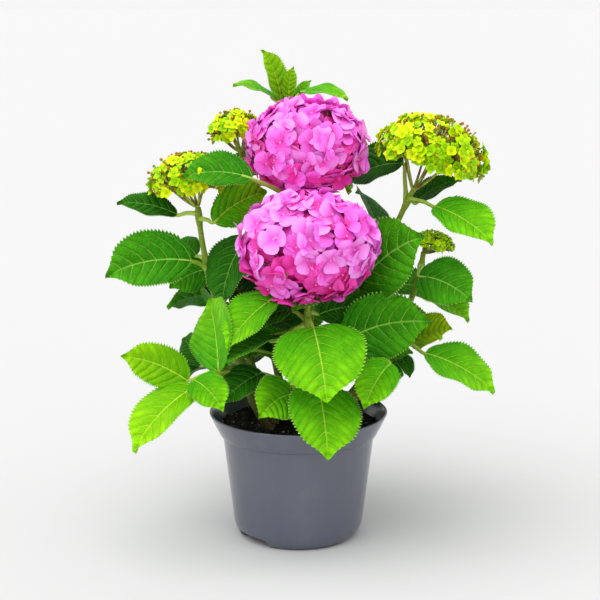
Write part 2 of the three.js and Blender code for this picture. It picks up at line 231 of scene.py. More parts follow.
points, faces = lathe(POT_OUTLINE, POT_TURNS, notched)
settle(mesh_piece("nursery_pot", points, faces, [plastic]), "pot_plastic", "pot")

# ---- The compost ---------------------------------------------------------------------------
# Peat compost, pressed in to just under the rim: a lumpy dark bed with loose crumbs of peat,
# slivers of bark and a few white grains of perlite lying on it.
SOIL_RADIUS = 84.0
SOIL_LEVEL = 120.4
SOIL_UNDERSIDE = 112.0
SOIL_RINGS = 44
SOIL_TURNS = 132
LUMPS = [(0.11, 0.07, 0.4, 1.5), (-0.19, 0.16, 1.9, 1.0), (0.33, -0.29, 4.0, 0.7),
         (0.62, 0.71, 2.2, 0.5)]


def soil_height(x, y):
    """The bed's level, lumpy all over and drawn down a little at the wall."""
    lumps = sum(high * math.sin(a * x + b * y + c) * math.cos(b * x - a * y)
                for a, b, c, high in LUMPS)
    return SOIL_LEVEL + lumps - 2.5 * ramp(math.hypot(x, y), 70, SOIL_RADIUS)


soil_points, soil_faces = [(0, 0, soil_height(0, 0))], []
for ring in range(1, SOIL_RINGS + 1):
    for k in range(SOIL_TURNS):
        angle = 2 * math.pi * (k + 0.5 * (ring % 2)) / SOIL_TURNS
        r = SOIL_RADIUS * ring / SOIL_RINGS
        x, y = r * math.cos(angle), r * math.sin(angle)
        soil_points.append((x, y, soil_height(x, y)))
for k in range(SOIL_TURNS):
    last = 1 + (SOIL_RINGS - 1) * SOIL_TURNS + k
    x, y, z = soil_points[last]
    soil_points.append((x * 0.96, y * 0.96, SOIL_UNDERSIDE))
soil_points.append((0, 0, SOIL_UNDERSIDE))
for k in range(SOIL_TURNS):
    after = (k + 1) % SOIL_TURNS
    soil_faces.append((0, 1 + k, 1 + after))
    for ring in range(SOIL_RINGS):
        a = 1 + ring * SOIL_TURNS
        soil_faces.append((a + k, a + SOIL_TURNS + k, a + SOIL_TURNS + after, a + after))
    a = 1 + SOIL_RINGS * SOIL_TURNS
    soil_faces.append((len(soil_points) - 1, a + after, a + k))


def mottled(name, roughness, scale, detail, ramp_stops, strength, depth_mm):
    """A dull natural finish: dark and light patches, with relief that follows them."""
    material, tree, shader = finish(name, roughness, 1.4)
    patches = noise(tree, object_place(tree), scale, detail)
    dress(tree, shader, toned(tree, patches, *ramp_stops), patches, strength, depth_mm)
    return material


# Peat, bark and perlite: broken, dull grains, blotched at the size of a grain.
peat, bark_chips, perlite = (
    mottled(name, roughness, 1 / (grain_mm * MM), 4.0, (0.35, dark, 0.72, light), 0.9, 0.8)
    for name, dark, light, roughness, grain_mm in (
        ("damp_peat", "060504", "1C1511", 0.9, 3.0),
        ("composted_bark", "1A110B", "4A3524", 0.85, 2.0),
        ("perlite", "A8A49B", "D9D6CE", 0.9, 1.5)))


def geometry_tree(name, output, **kinds):
    """A new Geometry Nodes tree with named inputs, and those inputs."""
    tree = bpy.data.node_groups.new(name, "GeometryNodeTree")
    for label, kind in kinds.items():
        tree.interface.new_socket(label.replace("_", " "), in_out="INPUT",
                                  socket_type="NodeSocket" + kind)
    tree.interface.new_socket(output, in_out="OUTPUT", socket_type="NodeSocketGeometry")
    return tree, node(tree, "NodeGroupInput").outputs


def end_tree(tree, geometry, material):
    """Ends a tree: its instances are made real and take their finish."""
    real = node(tree, "GeometryNodeRealizeInstances", inputs={0: geometry})
    faced = node(tree, "GeometryNodeSetMaterial", inputs={0: real.outputs[0], "Material": material})
    node(tree, "NodeGroupOutput", inputs={0: faced.outputs[0]})


# The crumbs: each is a rough ball pressed out of round, dropped on the bed at random.
scatter, given = geometry_tree(
    "scattered_crumbs", "Crumbs", Bed="Geometry", Per_square_metre="Float", Smallest="Float",
    Largest="Float", Flatness="Float", Seed="Int", Finish="Material")
upward = node(scatter, "ShaderNodeSeparateXYZ",
              inputs={0: node(scatter, "GeometryNodeInputNormal").outputs[0]})
on_top = node(scatter, "FunctionNodeCompare", {"operation": "GREATER_THAN"},
              {0: upward.outputs[2], 1: 0.4})
spots = node(scatter, "GeometryNodeDistributePointsOnFaces",
             inputs={"Mesh": given["Bed"], "Selection": on_top.outputs[0],
                     "Density": given["Per square metre"], "Seed": given["Seed"]})
ball = node(scatter, "GeometryNodeMeshIcoSphere", inputs={"Radius": 0.5, "Subdivisions": 2})
dent = node(scatter, "ShaderNodeTexNoise", inputs={"Scale": 1.7, "Detail": 2.0})
dented = node(scatter, "ShaderNodeVectorMath", {"operation": "SUBTRACT"},
              {0: dent.outputs["Color"], 1: (0.5, 0.5, 0.5)})
rough_ball = node(scatter, "GeometryNodeSetPosition",
                  inputs={"Geometry": ball.outputs[0], "Offset": dented.outputs[0]})
size = node(scatter, "FunctionNodeRandomValue", {"data_type": "FLOAT"},
            {2: given["Smallest"], 3: given["Largest"], "Seed": given["Seed"]})
squash = node(scatter, "ShaderNodeCombineXYZ", inputs={0: 1.0, 1: 0.6, 2: given["Flatness"]})
sized = node(scatter, "ShaderNodeVectorMath", {"operation": "SCALE"},
             {0: squash.outputs[0], "Scale": size.outputs[1]})
turned = node(scatter, "FunctionNodeRandomValue", {"data_type": "FLOAT_VECTOR"},
              {0: (-0.5, -0.5, 0), 1: (0.5, 0.5, 6.28), "Seed": given["Seed"]})
crumbs = node(scatter, "GeometryNodeInstanceOnPoints",
              inputs={"Points": spots.outputs[0], "Instance": rough_ball.outputs[0],
                      "Rotation": turned.outputs[0], "Scale": sized.outputs[0]})
end_tree(scatter, crumbs.outputs[0], given["Finish"])


def grown(name, base, tree, values):
    """The plain mesh that a Geometry Nodes tree makes from a base mesh, which then goes."""
    modifier = base.modifiers.new("grow", "NODES")
    modifier.node_group = tree
    for item in tree.interface.items_tree:
        if item.in_out == "INPUT" and item.name in values:
            modifier[item.identifier] = values[item.name]
    base.update_tag()
    bpy.context.view_layer.update()
    depsgraph = bpy.context.evaluated_depsgraph_get()
    mesh = bpy.data.meshes.new_from_object(base.evaluated_get(depsgraph))
    mesh.name = name
    base.modifiers.remove(modifier)
    return linked(name, mesh)


def joined(name, pieces):
    """Several meshes at the origin made one piece."""
    for other in bpy.context.selected_objects:
        other.select_set(False)
    for piece in pieces:
        piece.select_set(True)
    bpy.context.view_layer.objects.active = pieces[0]
    if len(pieces) > 1:
        bpy.ops.object.join()
    pieces[0].name = name
    pieces[0].data.name = name
    return pieces[0]


bed = mesh_piece("compost_bed", soil_points, soil_faces, [peat])
CRUMBS = [
    ("peat_crumbs", 62000, 1.6, 5.0, 0.7, 3, peat),
    ("bark_slivers", 9000, 2.5, 8.0, 0.35, 8, bark_chips),
    ("perlite_grains", 4200, 1.2, 3.2, 0.8, 5, perlite),
]
loose = [
    grown(name, bed, scatter, {
        "Per square metre": float(density), "Smallest": small * MM, "Largest": large * MM,
        "Flatness": flat, "Seed": seed, "Finish": material})
    for name, density, small, large, flat, seed, material in CRUMBS
]
settle(bed, "compost", "compost")
settle(joined("compost_crumbs", loose), "compost")

# ---- The canes -----------------------------------------------------------------------------
# Woody at the foot, with grey-brown bark and pale breathing pores, then green and soft higher
# up. Each swells to a joint wherever a pair of leaves stands on it.
CANES = [name[len("cane_"):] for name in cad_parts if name.startswith("cane_")]
CANE_RINGS = 6
CANE_SIDES = 5
CANE_FOOT_RADIUS = 4.6
CANE_TIP_RADIUS = 2.6
CANE_POINTS = 60
JOINT_SWELLING = 1.3
FOOT_FLARE = 1.6


def cane_rings(name):
    """The centres, in millimetres, of the rings of points that a CAD cane is made of."""
    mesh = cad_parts["cane_" + name].data
    spots = {tuple(round(c / MM, 2) for c in vertex.co) for vertex in mesh.vertices}
    rows = np.array(sorted(spots, key=lambda p: p[2]))
    return rows.reshape(CANE_RINGS, CANE_SIDES, 3).mean(axis=1)


class Path:
    """A smooth path through evenly spaced points, read by its share from 0 to 1."""

    def __init__(self, spots):
        self.spots = np.asarray(spots, dtype=float)
        p = self.spots
        self.slopes = np.empty_like(p)
        self.slopes[1:-1] = (p[2:] - p[:-2]) / 2
        self.slopes[0] = (-3 * p[0] + 4 * p[1] - p[2]) / 2
        self.slopes[-1] = (3 * p[-1] - 4 * p[-2] + p[-3]) / 2

    def at(self, share):
        place = min(max(share, 0.0), 1.0) * (len(self.spots) - 1)
        i = min(int(place), len(self.spots) - 2)
        t = place - i
        return ((2 * t ** 3 - 3 * t ** 2 + 1) * self.spots[i]
                + (t ** 3 - 2 * t ** 2 + t) * self.slopes[i]
                + (3 * t ** 2 - 2 * t ** 3) * self.spots[i + 1]
                + (t ** 3 - t ** 2) * self.slopes[i + 1])


cane_path = {name: Path(cane_rings(name)) for name in CANES}

# Young bark: smooth and green near the tip, corky and grey-brown near the compost.
bark, tree, shader = finish("hydrangea_bark", 0.55, 1.4)
place = object_place(tree)
height = node(tree, "ShaderNodeSeparateXYZ", inputs={0: place}).outputs[2]
age = toned(tree, spread(tree, height, 0.125, 0.215, 0.0, 1.0), 0.0, "5A4A2C", 1.0, "7FA01A")
fibre = noise(tree, stretched(tree, place, (900, 900, 90)), 1.0, 4.0)
pores = node(tree, "ShaderNodeTexVoronoi", inputs={"Vector": place, "Scale": 330.0})
streaked = mixed(tree, spread(tree, fibre, 0.35, 0.7, 0.0, 0.45), age, "3F4F10")
pore = spread(tree, pores.outputs["Distance"], 0.12, 0.24, 1.0, 0.0)
dress(tree, shader, mixed(tree, pore, streaked, "B9B07A"), fibre, 0.6, 0.5)

# One tree draws every stem: a round section drawn along a path of points, as thick as each
# point says, with its skin raised and sunk a little.
def point_value(tree, name, kind):
    """A named value that each point of a base mesh carries."""
    return node(tree, "GeometryNodeInputNamedAttribute", {"data_type": kind}, {"Name": name}).outputs[0]


stems, given = geometry_tree("stems_along_paths", "Stems", Paths="Geometry", Sides="Int",
                             Relief="Float", Relief_scale="Float", Finish="Material")
thickness = point_value(stems, "thickness", "FLOAT")
curve = node(stems, "GeometryNodeMeshToCurve", inputs={0: given["Paths"]})
section = node(stems, "GeometryNodeCurvePrimitiveCircle",
               inputs={"Resolution": given["Sides"], "Radius": 1.0})
skin = node(stems, "GeometryNodeCurveToMesh",
            inputs={"Curve": curve.outputs[0], "Profile Curve": section.outputs[0],
                    "Scale": thickness, "Fill Caps": True})
knobs = node(stems, "ShaderNodeTexNoise",
             inputs={"Vector": node(stems, "GeometryNodeInputPosition").outputs[0],
                     "Scale": given["Relief scale"], "Detail": 3.0})
centred = node(stems, "ShaderNodeMath", {"operation": "SUBTRACT"}, {0: knobs.outputs[0], 1: 0.5})
raised = node(stems, "ShaderNodeMath", {"operation": "MULTIPLY"},
              {0: centred.outputs[0], 1: given["Relief"]})
outward = node(stems, "ShaderNodeVectorMath", {"operation": "SCALE"},
               {0: node(stems, "GeometryNodeInputNormal").outputs[0], "Scale": raised.outputs[0]})
uneven = node(stems, "GeometryNodeSetPosition",
              inputs={"Geometry": skin.outputs[0], "Offset": outward.outputs[0]})
smooth = node(stems, "GeometryNodeSetShadeSmooth", inputs={0: uneven.outputs[0]})
end_tree(stems, smooth.outputs[0], given["Finish"])


def grown_on_points(name, spots, edges, values, tree, inputs):
    """Grows a piece on points in millimetres, each with its named values."""
    mesh = bpy.data.meshes.new(name + "_points")
    mesh.from_pydata([tuple(np.asarray(spot) * MM) for spot in spots], edges, [])
    for label, (kind, numbers) in values.items():
        field = "vector" if kind == "FLOAT_VECTOR" else "value"
        mesh.attributes.new(label, kind, "POINT").data.foreach_set(field, numbers)
    base = linked(name + "_points", mesh)
    piece = grown(name, base, tree, inputs)
    bpy.data.objects.remove(base)
    return piece


def stem_piece(name, paths, sides, relief, relief_mm, material):
    """One mesh of stems. A path is a list of (point, radius), in millimetres."""
    spots, edges, radii = [], [], []
    for path in paths:
        edges += [(len(spots) + i, len(spots) + i + 1) for i in range(len(path) - 1)]
        spots += [spot for spot, _ in path]
        radii += [radius * MM for _, radius in path]
    return grown_on_points(name, spots, edges, {"thickness": ("FLOAT", radii)}, stems, {
        "Sides": sides, "Relief": relief * MM, "Relief scale": 1 / (relief_mm * MM), "Finish": material})


# ---- The leaves ------------------------------------------------------------------------------
# Broad, toothed and a little puckered between their side veins, folded along the midrib and
# arched to the tip. Each stands on a pale stalk from a joint of its cane.
# Each row: share of the cane's length at the joint; the stalk's length, heading and rise; the blade's
# length, heading, pitch, roll and width share; and its tone, partly the leaf's age and partly painted
# light and shade for how lit it stands. Headings turn from +X towards +Y, and a positive roll leans the
# face to the right of the heading.
LEAF_BUNCHES = {
    "top_leaves": ("top", [
        (1, 15, -130, 31, 52, -167, 20, -14, 0.67, "fresh"),
        (1, 8, -130, 34, 61, -162, 69, -71, 0.46, "young"),
        (1, 11, -59, 40, 37, 36, 80, 64, 0.42, "young"),
        (0.97, 16, -26, 53, 32, 28, 50, 40, 0.4, "fresh"),
        (0.95, 36, -47, 58, 57, -20, -5, 11, 0.67, "fresh"),
    ]),
    "upper_leaves": ("upper", [
        (0.88, 88, -137, 30, 72, -176, 2, -42, 0.62, "mid"),
        (0.6, 85, 4, 34, 67, 109, 38, 36, 0.7, "dark"),
    ]),
    "left_high_leaves": ("left", [
        (0.97, 25, 156, -4, 64, -172, 12, -38, 0.5, "dark"),
        (0.95, 22, -44, -5, 70, 29, 24, 85, 0.65, "fresh"),
    ]),
    "left_wide_leaves": ("left", [
        (0.72, 29, -126, 27, 92, -162, -7, -57, 0.67, "mid"),
        (0.76, 23, 120, 7, 37, 132, 18, -31, 0.66, "mid"),
        (0.68, 27, 87, 13, 52, 183, -25, -85, 0.73, "mid"),
        (0.66, 64, -16, 52, 78, -151, -68, -16, 0.75, "dark"),
    ]),
    "left_low_leaves": ("left", [
        (0.3, 43, 167, -10, 49, 125, 26, -55, 0.6, "dark"),
        (0.32, 30, 129, 0, 50, 155, 73, -58, 0.61, "mid"),
    ]),
    "side_left_leaves": ("side_left", [
        (1, 55, -171, -13, 74, -174, 23, -85, 0.59, "young"),
        (0.92, 50, -159, -10, 96, -141, -35, -8, 0.62, "young"),
        (0.95, 53, -152, -3, 56, -51, -23, 28, 0.67, "fresh"),
        (0.9, 31, -139, 15, 84, 101, 53, -64, 0.86, "fresh"),
    ]),
    "front_high_leaves": ("lower", [
        (0.98, 33, -163, 8, 75, -157, -43, -21, 0.74, "fresh"),
        (0.98, 60, 32, 2, 104, -37, 39, 83, 0.75, "mid"),
    ]),
    "front_middle_leaves": ("lower", [
        (0.82, 25, 138, 23, 58, -150, -21, -19, 0.63, "mid"),
        (0.88, 23, 60, -14, 63, 4, 6, 85, 0.63, "dark"),
        (0.84, 24, -76, -9, 91, -80, -42, 11, 1, "fresh"),
        (0.8, 34, 177, -26, 65, -142, -15, 2, 0.82, "mid"),
        (0.72, 40, 10, -12, 96, -13, 16, 85, 0.7, "mid"),
    ]),
    "front_low_leaves": ("front", [
        (0.6, 64, -181, 30, 59, -144, -25, -27, 0.65, "dark"),
        (0.6, 29, -160, 24, 60, -126, -11, -46, 0.84, "fresh"),
        (0.9, 22, -84, 27, 85, -83, -48, -10, 0.87, "fresh"),
    ]),
    "side_right_leaves": ("side_right", [
        (0.95, 31, -63, 4, 63, -124, -36, -27, 0.66, "fresh"),
        (0.85, 19, 122, 32, 53, -10, 3, 43, 0.63, "mid"),
        (0.9, 32, 34, 9, 29, -41, -54, 15, 0.65, "dark"),
    ]),
    "right_low_leaves": ("young", [
        (0.5, 48, -49, -10, 83, -19, -26, 27, 0.66, "fresh"),
        (0.5, 37, 48, -23, 53, -28, 27, 45, 0.85, "lime"),
    ]),
    "right_middle_leaves": ("young", [
        (0.92, 27, -101, -13, 71, -42, -15, 51, 0.74, "mid"),
        (0.86, 21, -72, -60, 60, -37, -21, 12, 0.68, "fresh"),
    ]),
    "right_high_leaves": ("right", [
        (0.95, 15, 58, -18, 55, 4, 27, 20, 0.72, "dark"),
        (0.95, 34, -42, -6, 78, -39, -24, 24, 0.69, "fresh"),
        (0.93, 49, 93, 51, 69, 155, -21, -42, 0.82, "dark"),
    ]),
    "inner_left_leaves": ("left", [
        (0.5, 30, -10, 10, 88, -8, -25, 10, 0.68, "dark"),
        (0.5, 25, 95, 15, 80, 100, -15, 30, 0.68, "mid"),
        (0.34, 30, 20, 0, 92, 30, -35, 10, 0.68, "dark"),
        (0.55, 15, 40, 10, 60, 20, 0, 40, 0.7, "dark"),
    ]),
    "inner_right_leaves": ("right", [
        (0.5, 22, 20, 12, 60, 15, -8, 40, 0.68, "mid"),
        (0.5, 22, 160, 12, 80, 165, -10, -30, 0.68, "dark"),
        (0.3, 30, 70, 12, 95, 70, -30, 10, 0.68, "mid"),
        (0.3, 28, 130, 5, 85, 135, -35, -10, 0.68, "dark"),
    ]),
}

# The other bunches follow one rule: pairs of leaves at even steps up a cane, each pair a
# quarter turn on from the last, long and drooping low down, shorter and level high up.
PAIRED_BUNCHES = {
    "inner_upper_leaves": ("upper", 2, 0.35, 0.62, 170),
    "back_left_leaves": ("back_left", 3, 0.42, 0.88, 25),
    "back_right_leaves": ("back_right", 3, 0.42, 0.88, 60),
    "back_leaves": ("back", 3, 0.4, 0.94, 5),
    "behind_leaves": ("behind", 2, 0.5, 0.84, 100),
    "top_low_leaves": ("top", 2, 0.5, 0.76, 45),
}
PAIR_LENGTHS = (100, 74)
PAIR_PITCHES = (-45, -5)
PAIR_STALKS = (30, 16)
PAIR_STALK_RISE = 15
HIGHEST_PAIR_SHARE = 0.9
PAIR_OUTWARD_ROLL = 48
PAIR_WIDTH_SHARE = 0.68
PAIR_TONES = ("mid", "dark", "mid", "fresh")


def between(pair, share):
    return pair[0] + (pair[1] - pair[0]) * share


def paired_leaves(cane, pairs, first_share, last_share, first_turn):
    """Rows for pairs of leaves, each leaning its face outwards from the plant's middle."""
    rows = []
    for p in range(pairs):
        share = between((first_share, last_share), p / (pairs - 1))
        rank = min(share / HIGHEST_PAIR_SHARE, 1)
        outward = cane_path[cane].at(share)[:2]
        outward = outward / np.linalg.norm(outward)
        for turn in (first_turn + 90 * p, first_turn + 90 * p + 180):
            leftward = (-math.sin(math.radians(turn)), math.cos(math.radians(turn)))
            roll = -PAIR_OUTWARD_ROLL * float(np.dot(leftward, outward))
            rows.append((share, between(PAIR_STALKS, rank), turn, PAIR_STALK_RISE,
                         between(PAIR_LENGTHS, rank), turn, between(PAIR_PITCHES, rank), roll,
                         PAIR_WIDTH_SHARE, PAIR_TONES[len(rows) % len(PAIR_TONES)]))
    return rows


LEAF_ARCH = 34
LEAF_FOLD = 14
LEAF_THICKNESS = 0.45
TEETH = 24
TEETH_FROM = 0.14
TEETH_TO = 0.965
SIDE_VEINS = 7.5
VEIN_LEAN = 0.55
VEIN_CURL = 1.5
ACROSS = (-1, -0.93, -0.76, -0.54, -0.32, -0.12, 0, 0.12, 0.32, 0.54, 0.76, 0.93, 1)
leaf_random = random.Random(41)


def heading(turn, pitch):
    """The direction with that heading and rise, in degrees."""
    turn, pitch = math.radians(turn), math.radians(pitch)
    level = math.cos(pitch)
    return np.array([level * math.cos(turn), level * math.sin(turn), math.sin(pitch)])


def turned_about(vector, axis, degrees):
    return np.array(Quaternion(Vector(axis), math.radians(degrees)) @ Vector(vector))


def leaf_stations():
    """Shares along the blade, two for each tooth, and how far the margin stands out at each."""
    step = (TEETH_TO - TEETH_FROM) / TEETH
    rows = [(0.0, 0), (0.02, 0), (0.05, 0), (0.09, 0)]
    for k in range(TEETH):
        rows += [(TEETH_FROM + step * k, -1), (TEETH_FROM + step * (k + 0.62), 1)]
    return rows + [(TEETH_TO, -0.6), (0.985, 0), (1.0, 0)]


def leaf_outline(share):
    """Half the blade's width, as a share of its widest, with a rounded foot and a drawn tip."""
    full = math.sin(math.pi * share ** 0.85) ** 0.6 if 0 < share < 1 else 0
    return max(full * (1 - 0.55 * ramp(share, 0.76, 0.97)), 0.035 if share < 0.5 else 0.012)


def blade(foot, turn, pitch, roll, length, width_share):
    """The blade's points in rows from foot to tip, upper face then lower, and its own map."""
    half = length * width_share / 2
    sway = leaf_random.uniform(-7, 7)
    arch = LEAF_ARCH + leaf_random.uniform(-6, 10)
    fold = math.radians(LEAF_FOLD + leaf_random.uniform(-5, 9))
    wave, phase = leaf_random.uniform(0.012, 0.035) * length, leaf_random.uniform(0, 6)
    upper, lower, places = [], [], []
    centre, passed = np.array(foot, dtype=float), 0.0
    for share, tooth in leaf_stations():
        middle = (share + passed) / 2
        step = heading(turn + sway * middle, pitch + arch * (0.5 - middle))
        centre = centre + step * (share - passed) * length
        passed = share
        along = heading(turn + sway * share, pitch + arch * (0.5 - share))
        level = heading(turn + sway * share + 90, 0)
        side = turned_about(level, along, roll)
        face = np.cross(along, side)
        wide = leaf_outline(share)
        for across in ACROSS:
            reach = abs(across)
            out = half * wide * reach
            if reach == 1:
                out += tooth * (0.5 + 0.012 * length) * ramp(wide, 0.1, 0.5)
            offset = out / length
            vein = ((share - VEIN_LEAN * offset - VEIN_CURL * offset ** 2) * SIDE_VEINS) % 1
            pucker = -math.exp(-((min(vein, 1 - vein) / 0.13) ** 2)) + 0.35
            rise = math.sin(fold) * out * (1.25 - 0.45 * reach)
            rise += (pucker * length * 0.013 * math.sin(math.pi * min(reach * 1.1, 1))
                     * ramp(wide, 0.1, 0.6))
            rise += wave * math.sin(share * 11 + phase + (2.1 if across > 0 else 0)) * reach ** 3 * wide
            rise -= 0.05 * length * ramp(share, 0.8, 1.0) * (1 - reach)
            spot = centre + side * math.copysign(out, across) + face * rise
            upper.append(spot)
            lower.append(spot - face * LEAF_THICKNESS * (1.6 if reach < 0.05 else 1))
            rim = reach if tooth > 0 else 0.93 * reach
            places.append((0.5 + math.copysign(offset, across), share, rim))
    return upper, lower, places


def leaf_faces():
    """Faces over both sides and round the edge, and the corners' places on the bake map."""
    rows, columns = len(leaf_stations()), len(ACROSS)
    count = rows * columns
    faces, sheets = [], []
    for i in range(rows - 1):
        for j in range(columns - 1):
            a = i * columns + j
            faces.append((a, a + columns, a + columns + 1, a + 1))
            sheets.append(0)
            faces.append((count + a, count + a + 1, count + a + columns + 1, count + a + columns))
            sheets.append(1)
    edge = [i * columns for i in range(rows)] + [(rows - 1) * columns + j for j in range(1, columns)]
    edge += [i * columns + columns - 1 for i in range(rows - 2, -1, -1)]
    edge += list(range(columns - 2, 0, -1))
    for a, b in zip(edge, edge[1:] + edge[:1]):
        faces.append((b, a, count + a, count + b))
        sheets.append(2)
    return faces, sheets


LEAF_FACES, LEAF_SHEETS = leaf_faces()

# Leaf skin: a thin waxy layer over green tissue, paler along the sunken veins and the toothed edge, so
# it has a broad soft shine. Its tones run from young tips to old leaves, and are partly painted light
# and shade: darker tones go to leaves that stand in shade, brighter ones to shaded leaves that are to
# look lit. Each tone: the blade's foot, its tip, its veins, and its painted shade, laid in blotches and
# in the veins' valleys.
LEAF_TONES = {
    # The lime tone goes to a leaf in the shade of others, so it looks lit: painted light.
    "lime": ("A4DC00", "DCF800", "E8F860", "86C400"),
    "young": ("6CBC00", "A8EC00", "CCF440", "50A400"),
    "fresh": ("46B400", "8CE200", "B8EC44", "2E9000"),
    "mid": ("288C00", "4AAA00", "98D850", "166400"),
    "dark": ("1A6400", "2A7E00", "76BC44", "0E4000"),
}


def maths(tree, operation, *values):
    """One sum of a material, on numbers and outputs."""
    inputs = dict(enumerate(values))
    return node(tree, "ShaderNodeMath", {"operation": operation}, inputs).outputs[0]


def leaf_skin(name, foot_colour, tip_colour, vein_colour, shade_colour):
    """The skin of leaves of one tone, laid by the blade's own map."""
    material, tree, shader = finish(name, 0.4, 1.42, 0.09)
    own = node(tree, "ShaderNodeUVMap", {"uv_map": "leaf"}).outputs[0]
    parts = node(tree, "ShaderNodeSeparateXYZ", inputs={0: own}).outputs
    away = maths(tree, "ABSOLUTE", maths(tree, "SUBTRACT", parts[0], 0.5))
    # The side veins leave the midrib at a slant, bend towards the tip and waver a little.
    lean = maths(tree, "MULTIPLY_ADD", away, -VEIN_LEAN, parts[1])
    bent = maths(tree, "MULTIPLY_ADD", maths(tree, "MULTIPLY", away, away), -VEIN_CURL, lean)
    shaken = maths(tree, "MULTIPLY_ADD", noise(tree, own, 9.0, 1.0), 0.03, bent)
    counted = maths(tree, "MULTIPLY_ADD", shaken, SIDE_VEINS, -0.015 * SIDE_VEINS)
    near = maths(tree, "PINGPONG", counted, 0.5)
    side_vein = spread(tree, near, 0.012, 0.07, 1.0, 0.0, smooth=True)
    side_vein = maths(tree, "MULTIPLY", side_vein, spread(tree, away, 0.06, 0.3, 0.62, 0.12))
    midrib = spread(tree, away, 0.004, 0.014, 1.0, 0.0, smooth=True)
    midrib = maths(tree, "MULTIPLY", midrib, spread(tree, parts[1], 0.2, 0.9, 0.95, 0.35))
    veins = maths(tree, "MAXIMUM", side_vein, midrib)
    net = node(tree, "ShaderNodeTexVoronoi", {"feature": "DISTANCE_TO_EDGE"},
               {"Vector": own, "Scale": 30.0})
    mesh_vein = spread(tree, net.outputs[0], 0.02, 0.16, 1.0, 0.0)
    # The ground turns from foot to tip, and has painted shade in blotches and in the veins' valleys.
    along = spread(tree, parts[1], 0.1, 0.95, 0.0, 1.0, smooth=True)
    ground = mixed(tree, along, foot_colour, tip_colour)
    painted_shade_patch = spread(tree, noise(tree, own, 5.0, 4.0), 0.4, 0.7, 0.6, 0.0)
    painted_valley_shade = spread(tree, near, 0.03, 0.26, 0.6, 0.0, smooth=True)
    ground = mixed(tree, maths(tree, "MAXIMUM", painted_shade_patch, painted_valley_shade), ground, shade_colour)
    netted = mixed(tree, maths(tree, "MULTIPLY", mesh_vein, 0.09), ground, vein_colour)
    veined = mixed(tree, veins, netted, vein_colour)
    rim = node(tree, "ShaderNodeAttribute", {"attribute_name": "rim"}).outputs["Fac"]
    edged = mixed(tree, spread(tree, rim, 0.95, 1.0, 0.0, 0.8), veined, "D6F07A")
    pillow = spread(tree, near, 0.0, 0.4, 0.0, 1.3, smooth=True)
    fine = maths(tree, "MULTIPLY_ADD", mesh_vein, -0.35, pillow)
    dress(tree, shader, edged, maths(tree, "SUBTRACT", fine, veins), 0.9, 1.0)
    return material


leaf_materials = {tone: leaf_skin("leaf_skin_" + tone, *tints) for tone, tints in LEAF_TONES.items()}
TONE_ORDER = list(LEAF_TONES)


def foliage(name, rows):
    """One mesh of many leaves, each with a cell of its own on the bake map."""
    points, faces, tones, places, cells = [], [], [], [], []
    across = max(1, math.ceil(math.sqrt(len(rows) / 0.7)))
    down = math.ceil(len(rows) / across)
    for k, (foot, turn, pitch, roll, length, width_share, tone) in enumerate(rows):
        upper, lower, own = blade(foot, turn, pitch, roll, length, width_share)
        start = len(points)
        points += upper + lower
        places += own + own
        corner = np.array([k % across / across, k // across / down])
        for face, sheet in zip(LEAF_FACES, LEAF_SHEETS):
            faces.append([start + v for v in face])
            tones.append(TONE_ORDER.index(tone))
            for v in face:
                u, w, _ = own[v % len(own)]
                u = 0.5 + (u - 0.5) * 1.15
                left = (0.25 if sheet == 0 else 0.75) + (u - 0.5) * 0.46
                if sheet == 2:
                    left = 0.5 + (0.004 if v >= len(own) else -0.004)
                cells.append(corner + np.array([left / across, (0.03 + 0.94 * w) / down]))
    piece = mesh_piece(name, points, faces, [leaf_materials[tone] for tone in TONE_ORDER])
    mesh = piece.data
    mesh.polygons.foreach_set("material_index", tones)
    own_map = mesh.uv_layers.new(name="leaf")
    bake_map = mesh.uv_layers.new(name="OFBake")
    index = np.empty(len(mesh.loops), dtype=np.int32)
    mesh.loops.foreach_get("vertex_index", index)
    places = np.array(places)
    own_map.data.foreach_set("uv", places[index, :2].ravel())
    bake_map.data.foreach_set("uv", np.array(cells).ravel())
    mesh.attributes.new("rim", "FLOAT", "POINT").data.foreach_set("value", places[:, 2])
    mesh.set_sharp_from_angle(angle=math.radians(60))
    return piece


bunches = dict(LEAF_BUNCHES)
for name, (cane, *rule) in PAIRED_BUNCHES.items():
    bunches[name] = (cane, paired_leaves(cane, *rule))

STALK_RADII = (2.5, 1.6)
STALK_STEPS = 12
leaf_stalks = []


def stood_leaf(cane, row):
    """A leaf's stalk is added to the stalks, and its blade is given back where it stands."""
    share, stalk, stalk_turn, stalk_rise, length, turn, pitch, roll, width_share, tone = row
    joint = cane_path[cane].at(share)
    foot = joint + heading(stalk_turn, stalk_rise) * stalk
    along = heading(turn, pitch + LEAF_ARCH / 2)
    face = np.cross(along, turned_about(heading(turn + 90, 0), along, roll))
    bow = joint + heading(stalk_turn, stalk_rise) * stalk * 0.55 + np.array([0, 0, 0.05 * stalk])
    under = foot + along * length * 0.16 - face * 1.6
    path = Path([joint, bow, foot - face * 1.5, under])
    stalk_rings = []
    for i in range(STALK_STEPS + 1):
        radius = between(STALK_RADII, i / STALK_STEPS) * (1 if i < STALK_STEPS else 0.5)
        stalk_rings.append((path.at(i / STALK_STEPS), radius + 1.2 * max(0, 1 - i / 2)))
    leaf_stalks.append(stalk_rings)
    return foot, turn, pitch, roll, length, width_share, tone


